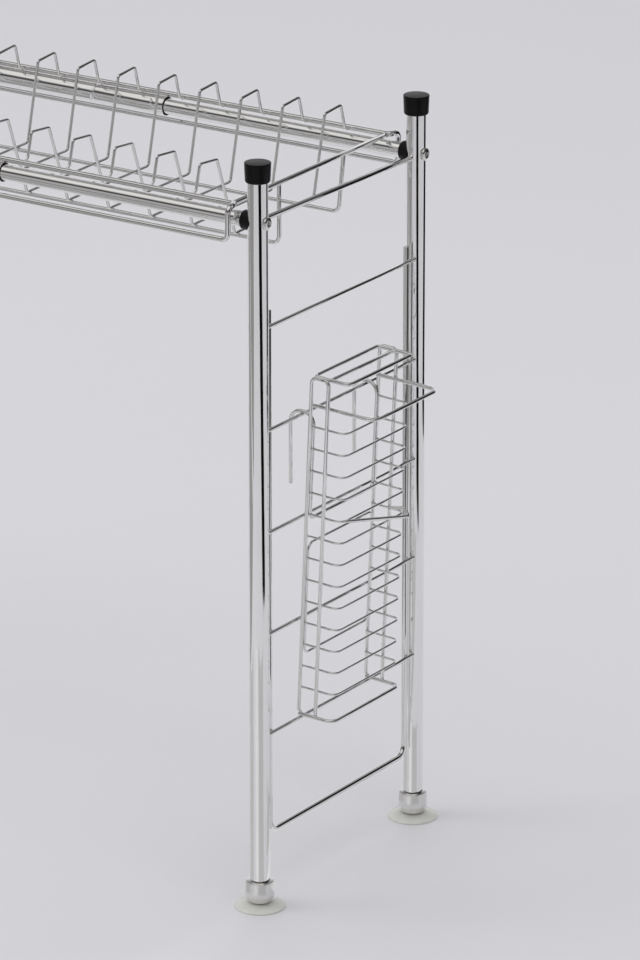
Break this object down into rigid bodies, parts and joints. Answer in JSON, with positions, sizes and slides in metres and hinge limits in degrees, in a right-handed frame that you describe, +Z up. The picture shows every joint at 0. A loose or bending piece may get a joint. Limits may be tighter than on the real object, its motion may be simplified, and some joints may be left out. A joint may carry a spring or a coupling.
{
  "type": "dish drying rack",
  "caption": "Extendable over-sink dish rack: post-and-ladder ends, telescoping rails, a sliding wire plate basket, a hanging knife and scissors holder and screw feet with suction cups.",
  "frame": {"origin": "bottom centre of the whole rack, on the worktop plane, at the working width", "axes": "+X along the rails towards the knife-holder end, +Y from the front rail to the rear rail, +Z up"},
  "size_m": [0.6864, 0.2076, 0.4821],
  "materials": {
    "polished_tube": "polished stainless tube",
    "polished_wire": "polished stainless wire",
    "turned_steel": "fine turned",
    "black_plastic": "satin",
    "black_nylon": "matte",
    "clear_cup": "soft clear"
  },
  "bodies": {
    "right_end_frame": {"right_front_post": "polished_tube", "right_rear_post": "polished_tube", "right_post_caps": "black_plastic", "right_top_bar": "polished_wire", "right_ladder_frame": "polished_wire", "right_rungs": "polished_wire", "right_rail_washers": "black_plastic", "right_foot_inserts": "turned_steel", "right_rail_screws": "turned_steel", "right_rail_plugs": "black_nylon", "front_inner_rail": "polished_tube", "rear_inner_rail": "polished_tube", "inner_rail_glides": "black_nylon"},
    "left_end_frame": {"left_front_post": "polished_tube", "left_rear_post": "polished_tube", "left_post_caps": "black_plastic", "left_top_bar": "polished_wire", "left_ladder_frame": "polished_wire", "left_rungs": "polished_wire", "left_rail_washers": "black_plastic", "left_foot_inserts": "turned_steel", "left_rail_screws": "turned_steel", "left_rail_plugs": "black_nylon", "front_outer_rail": "polished_tube", "rear_outer_rail": "polished_tube", "outer_rail_bushes": "black_nylon"},
    "dish_basket": {"front_side_loop": "polished_wire", "rear_side_loop": "polished_wire", "basket_end_bars": "polished_wire", "floor_rods": "polished_wire", "plate_divider_01": "polished_wire", "plate_divider_02": "polished_wire", "plate_divider_03": "polished_wire", "plate_divider_04": "polished_wire", "plate_divider_05": "polished_wire", "plate_divider_06": "polished_wire", "plate_divider_07": "polished_wire", "plate_divider_08": "polished_wire", "plate_divider_09": "polished_wire", "plate_divider_10": "polished_wire", "plate_divider_11": "polished_wire", "plate_divider_12": "polished_wire"},
    "knife_holder": {"holder_end_hoops": "polished_wire", "holder_rim": "polished_wire", "holder_bottom_loop": "polished_wire", "holder_thin_loops": "polished_wire", "holder_hanger": "polished_wire", "scissors_rings": "polished_wire"},
    "right_front_adjuster": {"right_front_collar": "turned_steel"},
    "right_front_foot": {"right_front_stem": "turned_steel", "right_front_cup": "clear_cup"},
    "right_rear_adjuster": {"right_rear_collar": "turned_steel"},
    "right_rear_foot": {"right_rear_stem": "turned_steel", "right_rear_cup": "clear_cup"},
    "left_front_adjuster": {"left_front_collar": "turned_steel"},
    "left_front_foot": {"left_front_stem": "turned_steel", "left_front_cup": "clear_cup"},
    "left_rear_adjuster": {"left_rear_collar": "turned_steel"},
    "left_rear_foot": {"left_rear_stem": "turned_steel", "left_rear_cup": "clear_cup"}
  },
  "joints": [
    {"name": "width_slide", "type": "slide", "parent": "right_end_frame", "child": "left_end_frame", "axis": [-1, 0, 0], "range_m": [-0.17, 0.165]},
    {"name": "basket_slide", "type": "slide", "parent": "right_end_frame", "child": "dish_basket", "axis": [-1, 0, 0], "range_m": [0, 0.165]},
    {"name": "holder_lift", "type": "slide", "parent": "right_end_frame", "child": "knife_holder", "axis": [0.0454, 0, 0.999], "range_m": [0, 0.048]},
    {"name": "right_front_collar_turn", "type": "hinge", "parent": "right_end_frame", "child": "right_front_adjuster", "pos_m": [0.28487, -0.08775, 0.0107], "axis": [0, 0, 1], "range_deg": [0, 1440]},
    {"name": "right_front_foot_slide", "type": "slide", "parent": "right_end_frame", "child": "right_front_foot", "axis": [0, 0, -1], "range_m": [0, 0.005]},
    {"name": "right_rear_collar_turn", "type": "hinge", "parent": "right_end_frame", "child": "right_rear_adjuster", "pos_m": [0.28487, 0.08775, 0.0107], "axis": [0, 0, 1], "range_deg": [0, 1440]},
    {"name": "right_rear_foot_slide", "type": "slide", "parent": "right_end_frame", "child": "right_rear_foot", "axis": [0, 0, -1], "range_m": [0, 0.005]},
    {"name": "left_front_collar_turn", "type": "hinge", "parent": "left_end_frame", "child": "left_front_adjuster", "pos_m": [-0.32713, -0.08775, 0.0107], "axis": [0, 0, 1], "range_deg": [0, 1440]},
    {"name": "left_front_foot_slide", "type": "slide", "parent": "left_end_frame", "child": "left_front_foot", "axis": [0, 0, -1], "range_m": [0, 0.005]},
    {"name": "left_rear_collar_turn", "type": "hinge", "parent": "left_end_frame", "child": "left_rear_adjuster", "pos_m": [-0.32713, 0.08775, 0.0107], "axis": [0, 0, 1], "range_deg": [0, 1440]},
    {"name": "left_rear_foot_slide", "type": "slide", "parent": "left_end_frame", "child": "left_rear_foot", "axis": [0, 0, -1], "range_m": [0, 0.005]}
  ],
  "couplings": [
    {"joint": "right_front_collar_turn", "follows": "right_front_foot_slide", "rad_per_m": 5026.5},
    {"joint": "right_rear_collar_turn", "follows": "right_rear_foot_slide", "rad_per_m": 5026.5},
    {"joint": "left_front_collar_turn", "follows": "left_front_foot_slide", "rad_per_m": 5026.5},
    {"joint": "left_rear_collar_turn", "follows": "left_rear_foot_slide", "rad_per_m": 5026.5}
  ]
}
